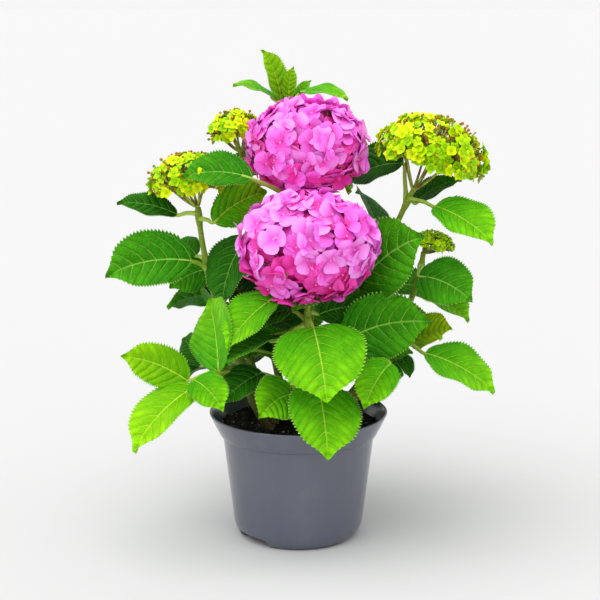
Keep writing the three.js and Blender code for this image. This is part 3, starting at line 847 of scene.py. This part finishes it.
LEAF_PIECES = {
    "leaves_left": ("left_high_leaves", "left_wide_leaves", "left_low_leaves", "side_left_leaves",
                    "inner_left_leaves"),
    "leaves_top": ("top_leaves", "upper_leaves", "top_low_leaves", "inner_upper_leaves",
                   "behind_leaves"),
    "leaves_front": ("front_high_leaves", "front_middle_leaves", "front_low_leaves",
                     "side_right_leaves"),
    "leaves_right": ("right_low_leaves", "right_middle_leaves", "right_high_leaves",
                     "inner_right_leaves"),
    "leaves_back": ("back_left_leaves", "back_right_leaves", "back_leaves"),
}
for name, members in LEAF_PIECES.items():
    rows = [stood_leaf(bunches[member][0], row) for member in members for row in bunches[member][1]]
    settle(foliage(name, rows), "leaf", *members)

# Leaf stalks: smooth, sappy and pale green.
stalk_skin = mottled("leaf_stalk_skin", 0.42, 60.0, 3.0, (0.35, "86B024", 0.65, "B8D45A"), 0.3, 1.0)
settle(stem_piece("leaf_stalks", leaf_stalks, 8, 0.3, 4.0, stalk_skin), "cane_bark")

joints_on = {name: [] for name in CANES}
for cane, rows in bunches.values():
    joints_on[cane] += [row[0] for row in rows]
for name in CANES:
    path = []
    for i in range(CANE_POINTS + 1):
        share = i / CANE_POINTS
        radius = between((CANE_FOOT_RADIUS, CANE_TIP_RADIUS), share)
        swellings = [math.exp(-((share - s) / 0.022) ** 2) for s in joints_on[name]]
        radius += JOINT_SWELLING * max(swellings or [0]) + FOOT_FLARE * math.exp(-share / 0.03)
        path.append((cane_path[name].at(share), radius))
    settle(stem_piece("stem_" + name, [path], 14, 0.9, 2.2, bark), "cane_bark", "cane_" + name)

# ---- The pink flower heads ---------------------------------------------------------------------
# Balls of sterile florets. A floret has four broad overlapping sepals round a small bead, and
# stands on a thin pale stalk that branches from the end of its cane.
SEPAL_ROWS = [(0.0, 0.2), (0.16, 0.55), (0.42, 0.95), (0.7, 1.0), (0.9, 0.78), (1.0, 0.42)]
SEPAL_ACROSS = (-1, -0.5, 0, 0.5, 1)


def sepal_points(length, width, cup, curl, twist, turn, lift, blunt):
    """One sepal from the floret's middle, turned about its axis, as rows of points."""
    rows = []
    for share, full in SEPAL_ROWS:
        wide = full * (1 - (1 - blunt) * ramp(share, 0.35, 1.0))
        for across in SEPAL_ACROSS:
            x = share * length
            y = across * wide * width / 2
            z = lift + cup * share ** 1.5 * length + curl * (across * wide) ** 2 * length
            z += twist * y * share - 0.1 * length * ramp(share, 0.6, 1.0)
            rows.append((x, y, z, share, across))
    c, s = math.cos(math.radians(turn)), math.sin(math.radians(turn))
    return [(x * c - y * s, x * s + y * c, z, share, across) for x, y, z, share, across in rows]


def floret_shape(name, sepals, length, width, cup, curl, bead, materials, seed, blunt=1.0):
    """A floret one unit across its sepals' tips: closed thin sepals and a round bead."""
    chance = random.Random(seed)
    points, faces, places, finishes = [], [], [], []
    rows, columns = len(SEPAL_ROWS), len(SEPAL_ACROSS)
    for k in range(sepals):
        turn = 360 * k / sepals + chance.uniform(-7, 7)
        own = sepal_points(length * chance.uniform(0.9, 1.08), width * chance.uniform(0.92, 1.1),
                           cup + chance.uniform(-0.18, 0.24), curl + chance.uniform(-0.2, 0.2),
                           chance.uniform(-0.45, 0.45), turn, 0.05 + 0.03 * (k % 2), blunt)
        top = len(points)
        points += [p[:3] for p in own]
        places += [(0.5 + p[4] * 0.45, 0.04 + p[3] * 0.92) for p in own]
        under = {}
        for i in range(rows):
            for j in range(columns):
                if 0 < i < rows - 1 and 0 < j < columns - 1:
                    under[i, j] = len(points)
                    x, y, z = own[i * columns + j][:3]
                    points.append((x, y, z - 0.03))
                    places.append(places[top + i * columns + j])
                else:
                    under[i, j] = top + i * columns + j
        for i in range(rows - 1):
            for j in range(columns - 1):
                a = top + i * columns + j
                faces.append((a, a + columns, a + columns + 1, a + 1))
                faces.append((under[i, j], under[i, j + 1], under[i + 1, j + 1], under[i + 1, j]))
                finishes += [0, 0]
    rings, turns = 3, 6
    start = len(points)
    points.append((0, 0, 0.02 + 2 * bead))
    places.append((0.5, 0.02))
    for i in range(1, rings + 1):
        tilt = math.pi * i / (rings + 1)
        for k in range(turns):
            angle = 2 * math.pi * k / turns
            around = bead * math.sin(tilt)
            points.append((around * math.cos(angle), around * math.sin(angle),
                           0.02 + bead + bead * math.cos(tilt)))
            places.append((0.5, 0.02))
    points.append((0, 0, 0.02))
    places.append((0.5, 0.02))
    for k in range(turns):
        after = (k + 1) % turns
        faces.append((start, start + 1 + k, start + 1 + after))
        for i in range(rings - 1):
            a = start + 1 + i * turns
            faces.append((a + k, a + turns + k, a + turns + after, a + after))
        a = start + 1 + (rings - 1) * turns
        faces.append((a + after, a + k, start + 1 + rings * turns))
        finishes += [1] * (rings + 1)
    shape = mesh_piece(name, np.array(points) / MM, faces, materials)
    mesh = shape.data
    mesh.polygons.foreach_set("material_index", finishes)
    mesh.set_sharp_from_angle(angle=math.radians(70))
    own_map = mesh.uv_layers.new(name="petal")
    for loop in mesh.loops:
        own_map.data[loop.index].uv = places[loop.vertex_index]
    return shape


def petal_skin(name, base, tip, vein, roughness=0.5):
    """Sepal skin: velvety and thin, paler at the tip and deeper at the foot, partly its own colour and
    partly painted shade in the floret's hollow, finely veined.
    """
    material, tree, shader = finish(name, roughness, 1.38, 0.2)
    own = node(tree, "ShaderNodeUVMap", {"uv_map": "petal"}).outputs[0]
    along = node(tree, "ShaderNodeSeparateXYZ", inputs={0: own}).outputs[1]
    # Deeper at the foot: partly the sepal's own colour, partly painted shade where the sepals meet.
    ground = mixed(tree, spread(tree, along, 0.05, 0.85, 0.0, 1.0, smooth=True), base, tip)
    lines = node(tree, "ShaderNodeTexNoise",
                 inputs={"Vector": stretched(tree, own, (16, 2.2, 1)), "Scale": 1.0,
                         "Detail": 3.0, "Distortion": 0.4}).outputs[0]
    veined = mixed(tree, spread(tree, lines, 0.45, 0.7, 0.0, 0.4), ground, vein)
    dress(tree, shader, veined, lines, 0.25, 0.3)
    return material


# One tree stands every floret and bud: a shape at each point, turned, sized and toned as the point says;
# the tone sets a lit or shaded finish, painted light and shade.
florets, given = geometry_tree(
    "florets_on_points", "Florets", Points="Geometry", First_shape="Object", Second_shape="Object",
    Third_shape="Object", Light_finish="Material", Deep_finish="Material")
shapes = node(florets, "GeometryNodeJoinGeometry")
for name in ("Third shape", "Second shape", "First shape"):
    shape = node(florets, "GeometryNodeObjectInfo", inputs={"Object": given[name], "As Instance": True})
    florets.links.new(shape.outputs["Geometry"], shapes.inputs[0])
stood = node(florets, "GeometryNodeInstanceOnPoints",
             inputs={"Points": given["Points"], "Instance": shapes.outputs[0], "Pick Instance": True,
                     "Instance Index": point_value(florets, "shape", "INT"),
                     "Rotation": point_value(florets, "turned", "FLOAT_VECTOR"),
                     "Scale": point_value(florets, "size", "FLOAT")})
real = node(florets, "GeometryNodeRealizeInstances", inputs={0: stood.outputs[0]})
bead_face = node(florets, "GeometryNodeInputMaterialIndex")
faced = real
for tone, name in ((1, "Light finish"), (2, "Deep finish")):
    same = node(florets, "FunctionNodeCompare", {"data_type": "INT", "operation": "EQUAL"},
                {2: point_value(florets, "tone", "INT"), 3: tone})
    petal = node(florets, "FunctionNodeCompare", {"data_type": "INT", "operation": "EQUAL"},
                 {2: bead_face.outputs[0], 3: 0})
    both = node(florets, "FunctionNodeBooleanMath", {"operation": "AND"},
                {0: same.outputs[0], 1: petal.outputs[0]})
    faced = node(florets, "GeometryNodeSetMaterial",
                 inputs={0: faced.outputs[0], "Selection": both.outputs[0], "Material": given[name]})
node(florets, "NodeGroupOutput", inputs={0: faced.outputs[0]})


def floret_piece(name, rows, shapes, light, shade_finish):
    """Florets from rows of (point in mm, facing, spin in degrees, size in mm, tone, shape); the tone
    picks a lit or shaded finish, painted light and shade.
    """
    spots, facings, spins, sizes, tones, kinds = zip(*rows)
    turned = []
    for facing, spin in zip(facings, spins):
        aim = Vector(facing).to_track_quat("Z", "Y") @ Quaternion((0, 0, 1), math.radians(spin))
        turned += list(aim.to_euler())
    return grown_on_points(name, spots, [], {
        "turned": ("FLOAT_VECTOR", turned), "size": ("FLOAT", [size * MM for size in sizes]),
        "tone": ("INT", tones), "shape": ("INT", kinds),
    }, florets, {
        "First shape": shapes[0], "Second shape": shapes[1], "Third shape": shapes[2],
        "Light finish": light, "Deep finish": shade_finish})


# The pale and deep pinks are lit and shaded copies of the pink sepal: painted light and shade.
pink_mid = petal_skin("pink_sepal", "EE3EB6", "FF84F6", "F858D6", 0.55)
pink_painted_light = petal_skin("pale_pink_sepal_painted_light", "F256CC", "FFA4FC", "FC7AE6", 0.55)
pink_painted_shade = petal_skin("deep_pink_sepal_painted_shade", "E0208E", "FC56C6", "EC38A6", 0.55)
bead_skin = petal_skin("floret_bead", "E2B6CE", "E8C8DA", "B86A98")
pink_shapes = [
    floret_shape("pink_floret_%d" % k, 4, 0.52, 0.6, cup, curl, 0.045, [pink_mid, bead_skin], 70 + k)
    for k, (cup, curl) in enumerate([(0.1, 0.1), (0.36, 0.0), (-0.08, -0.12)])
]

# Young stalks inside a head: thin and pale, mottled olive-brown and green.
floret_stalk = mottled("floret_stalk_skin", 0.5, 90.0, 2.0, (0.4, "7E6A34", 0.6, "A8C23C"), 0.3, 1.0)


def even_directions(count, seed):
    """Directions spread evenly over a ball, a little shaken."""
    chance = random.Random(seed)
    rows = []
    for k in range(count):
        z = 1 - 2 * (k + 0.5) / count
        angle = k * math.pi * (3 - math.sqrt(5))
        flat = math.sqrt(1 - z * z)
        spot = np.array([flat * math.cos(angle), flat * math.sin(angle), z])
        spot += np.array([chance.uniform(-0.07, 0.07) for _ in range(3)])
        rows.append(spot / np.linalg.norm(spot))
    return rows


def node_box(name):
    """Centre and half sizes of a CAD node in millimetres."""
    low, high = (np.array(corner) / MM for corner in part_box(name))
    return (low + high) / 2, (high - low) / 2


def settle_head(name, slot, rows, shapes, light, shade_finish, stalks):
    """A flower head: its florets stand for the CAD head, and its stalks hold them up."""
    settle(floret_piece(name + "_florets", rows, shapes, light, shade_finish), slot, name)
    settle(stem_piece(name + "_stalks", stalks, 5, 0.2, 3.0, floret_stalk), "cane_bark")


# Each row: cane, number of florets, their size, and the seed.
PINK_HEADS = {
    "pink_head_lower": ("lower", 250, 28.0, 11),
    "pink_head_upper": ("upper", 215, 27.0, 27),
}
FLORET_REACH = 8.0  # how far a floret's sepals stand out past its own point
for name, (cane, count, across, seed) in PINK_HEADS.items():
    chance = random.Random(seed)
    middle, half = node_box(name)
    inner = half - FLORET_REACH
    fork = cane_path[cane].at(1.0)
    rows, stalks = [], []
    for facing in even_directions(count, seed):
        depth = chance.choice([1.0, 1.0, 0.95, 0.9, 0.82])
        spot = middle + facing * inner * depth
        lean = facing / half
        shake = np.array([chance.uniform(-0.45, 0.45) * depth for _ in range(3)])
        lean = lean / np.linalg.norm(lean) + shake
        # Florets at the surface and not facing down take the pale pink, and those deeper in or facing
        # down take the deep pink: painted light and shade.
        in_light = depth > 0.92 and facing[2] > -0.4
        tone = chance.choice([0, 1, 1] if in_light else [0, 2, 2])
        rows.append((spot, lean, chance.uniform(0, 90), across * chance.uniform(0.86, 1.08),
                     tone, chance.choice([0, 0, 1, 2])))
        fork_up = fork + (middle - fork) * 0.35
        bend = fork_up + (spot - fork_up) * 0.5 + np.array([0, 0, -3])
        path = Path([fork_up, bend, spot - lean / np.linalg.norm(lean) * 6, spot])
        stalks.append([(path.at(i / 5), between((1.3, 0.8), i / 5)) for i in range(6)])
    stalks.append([(fork + (middle - fork) * 0.45 * i / 4, between((2.8, 4.6), i / 4))
                   for i in range(5)])
    settle_head(name, "pink_petal", rows, pink_shapes, pink_painted_light, pink_painted_shade, stalks)
for shape in pink_shapes:
    bpy.data.objects.remove(shape)

# ---- The lime flower heads ---------------------------------------------------------------------
# Heads still opening: looser and flatter, of small lime-yellow florets and red-tipped buds on forked
# stalks that spread from a joint at the end of the cane.
lime_mid = petal_skin("lime_sepal", "96D000", "DAF600", "B0DC00")
# The yellow and deep green limes are dealt partly at random and partly as lit and shaded copies of the
# lime sepal: painted light and shade.
lime_painted_light = petal_skin("yellow_lime_sepal_painted_light", "AEDC00", "EEF80A", "C8E400")
lime_painted_shade = petal_skin("green_lime_sepal_painted_shade", "72B400", "B0E600", "8CC800")
eye_skin = petal_skin("floret_eye", "C8D400", "D4DE10", "B8B410")
bud_skin = petal_skin("flower_bud_skin", "B87A10", "C04A1C", "A05A18")
green_bud_skin = petal_skin("green_bud_skin", "9CC400", "B0D400", "84AC00")
lime_shapes = [
    floret_shape("lime_floret_open", 5, 0.5, 0.52, 0.22, -0.1, 0.08, [lime_mid, eye_skin], 90, 0.4),
    floret_shape("lime_floret_half", 4, 0.46, 0.6, 0.6, -0.2, 0.09, [lime_mid, eye_skin], 91, 0.45),
    floret_shape("flower_bud", 0, 0.4, 0.4, 0.1, 0, 0.5, [lime_mid, bud_skin], 92),
]
young_shapes = lime_shapes[:2] + [
    floret_shape("green_flower_bud", 0, 0.4, 0.4, 0.1, 0, 0.5, [lime_mid, green_bud_skin], 93)]
# Each row: cane, lean, tilt, radius and height of the head, its florets, their size, the share
# of its points that are buds, and the seed.
LIME_HEADS = {
    "lime_head_left": ("left", -5, -6, 43, 62, 96, 13.5, 0.35, 44),
    "lime_head_right": ("right", 8, 15, 57, 86, 165, 15.0, 0.3, 32),
    "lime_head_behind": ("behind", -3, -8, 30, 50, 62, 12.0, 0.35, 33),
    "lime_head_young": ("young", 8, 12, 21, 28, 70, 7.5, 0.5, 34),
    "lime_head_back_left": ("back_left", -6, -8, 34, 42, 72, 12.5, 0.35, 35),
    "lime_head_back_right": ("back_right", 6, 8, 38, 46, 84, 12.5, 0.35, 36),
}
BRANCHES = 7
LOWEST_FACING = -0.3
HEAD_SINK = 4.0
BUD_SIZE = 2.7


def head_frame(cane, lean, tilt):
    """Takes a point of an upright dome to its place on a leaning, tilted head."""
    tip = cane_path[cane].at(1.0) - np.array([0, 0, HEAD_SINK])
    turn = Quaternion((0, 1, 0), math.radians(tilt))

    def placed(x, y, z, height):
        shifted = Vector((x + lean * min(max(z / height, 0) * 2, 1), y * 0.92, z))
        return tip + np.array(turn @ shifted)

    return placed


for name, (cane, lean, tilt, radius, height, count, across, buds, seed) in LIME_HEADS.items():
    chance = random.Random(seed)
    placed = head_frame(cane, lean, tilt)
    widest = height * 0.52
    fork = cane_path[cane].at(1.0)
    middle = placed(0, 0, widest, height)
    rows, stalks, knuckles = [], [], []
    for k in range(BRANCHES):
        angle = 2 * math.pi * k / BRANCHES + chance.uniform(-0.2, 0.2)
        far = radius * (0.55 if k else 0.05)
        knuckles.append(placed(far * math.cos(angle), far * math.sin(angle), widest * 0.95, height))
        path = Path([fork, fork + (knuckles[-1] - fork) * 0.45 + np.array([0, 0, -2.5]), knuckles[-1]])
        stalks.append([(path.at(i / 5), between((1.7, 1.0), i / 5)) for i in range(6)])
    points_wanted = round(count / (1 - buds))
    for facing in even_directions(points_wanted * 2, seed):
        if facing[2] < LOWEST_FACING:
            continue
        is_bud = chance.random() < buds * (1.5 if facing[2] > 0.45 else 0.7)
        size = BUD_SIZE * chance.uniform(0.8, 1.3) if is_bud else across * chance.uniform(0.78, 1.1)
        depth = (1.02 if is_bud else chance.choice([0.98, 0.94, 0.86])) - 3.0 / radius
        swell = 1 + 0.1 * math.sin(5 * math.atan2(facing[1], facing[0]) + seed)
        spot = placed(facing[0] * radius * depth * swell, facing[1] * radius * depth * swell,
                      widest + facing[2] * (height - widest) * depth, height)
        lean_to = (spot - middle) / np.linalg.norm(spot - middle)
        lean_to = lean_to + np.array([chance.uniform(-0.3, 0.3), chance.uniform(-0.3, 0.3), 0.12])
        # Upturned florets take the yellow lime more often and downturned ones the deep green: painted
        # light and shade.
        tone = chance.choice([0, 1, 1, 2] if facing[2] > 0.25 else [0, 2, 2, 1])
        rows.append((spot, lean_to, chance.uniform(0, 90), size, tone,
                     2 if is_bud else chance.choice([0, 0, 1])))
        knuckle = min(knuckles, key=lambda place: np.linalg.norm(place - spot))
        path = Path([knuckle, (knuckle + spot) / 2 + np.array([0, 0, -1.5]), spot])
        stalks.append([(path.at(i / 4), between((0.9, 0.6), i / 4)) for i in range(5)])
    is_young = name == "lime_head_young"
    settle_head(name, "lime_petal", rows, young_shapes if is_young else lime_shapes,
                lime_mid if is_young else lime_painted_light, lime_painted_shade, stalks)
for shape in lime_shapes + young_shapes[2:]:
    bpy.data.objects.remove(shape)

# ---- The studio ----------------------------------------------------------------------------------
# A pale floor that runs out of sight, light from all round, and one broad soft light from the
# upper left that lays a faint shadow to the plant's right.
floor_finish, tree, shader = finish("matt_studio_floor", 0.9, specular=0.1)
shader.inputs["Base Color"].default_value = colour("CECECE")
FLOOR_REACH = 400000.0
corners = [(x * FLOOR_REACH, y * FLOOR_REACH, 0) for x, y in ((-1, -1), (1, -1), (1, 1), (-1, 1))]
floor = mesh_piece("studio_floor", corners, [(0, 1, 2, 3)], [floor_finish], smooth=False)
floor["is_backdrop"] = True

world = bpy.data.worlds.new("studio")
world.use_nodes = True
tree = world.node_tree
around = node(tree, "ShaderNodeTexCoord").outputs["Generated"]
upward = node(tree, "ShaderNodeSeparateXYZ", inputs={0: around}).outputs[2]
strength = spread(tree, upward, 0.02, 0.25, 0.93, 0.95, smooth=True)
tree.links.new(strength, tree.nodes["Background"].inputs["Strength"])
tree.nodes["Background"].inputs["Color"].default_value = colour("FFFFFF")
bpy.context.scene.world = world

key = bpy.data.lights.new("soft_key", "SUN")
key.energy = 1.95
key.angle = math.radians(65)
KEY_FROM = Vector((-0.46, -0.5, 1.6))
linked("soft_key", key).rotation_euler = KEY_FROM.to_track_quat("Z", "Y").to_euler()

bpy.context.scene.view_settings.view_transform = "Standard"

CAMERA_DISTANCE = 1.5
CAMERA_ELEVATION = math.radians(11.55)
CAMERA_AIM = Vector((0, 0, 0.253))
SENSOR_WIDTH = 36.0
LENS_PER_FRAME = 1434 / 600  # the lens as a share of the picture's width
SHIFT_PER_FRAME = 1.6 / 600
camera_data = bpy.data.cameras.new("camera")
camera_data.sensor_width = SENSOR_WIDTH
camera_data.lens = LENS_PER_FRAME * SENSOR_WIDTH
camera_data.shift_x = SHIFT_PER_FRAME
camera_data.clip_end = 3000.0
camera = linked("camera", camera_data)
away = Vector((0, -math.cos(CAMERA_ELEVATION), math.sin(CAMERA_ELEVATION)))
camera.location = CAMERA_AIM + away * CAMERA_DISTANCE
camera.rotation_euler = away.to_track_quat("Z", "Y").to_euler()
bpy.context.scene.camera = camera

boxes = {"cad": cad_box, "visual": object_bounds()}
{name: [[float(c) for c in corner] for corner in box] for name, box in boxes.items()}
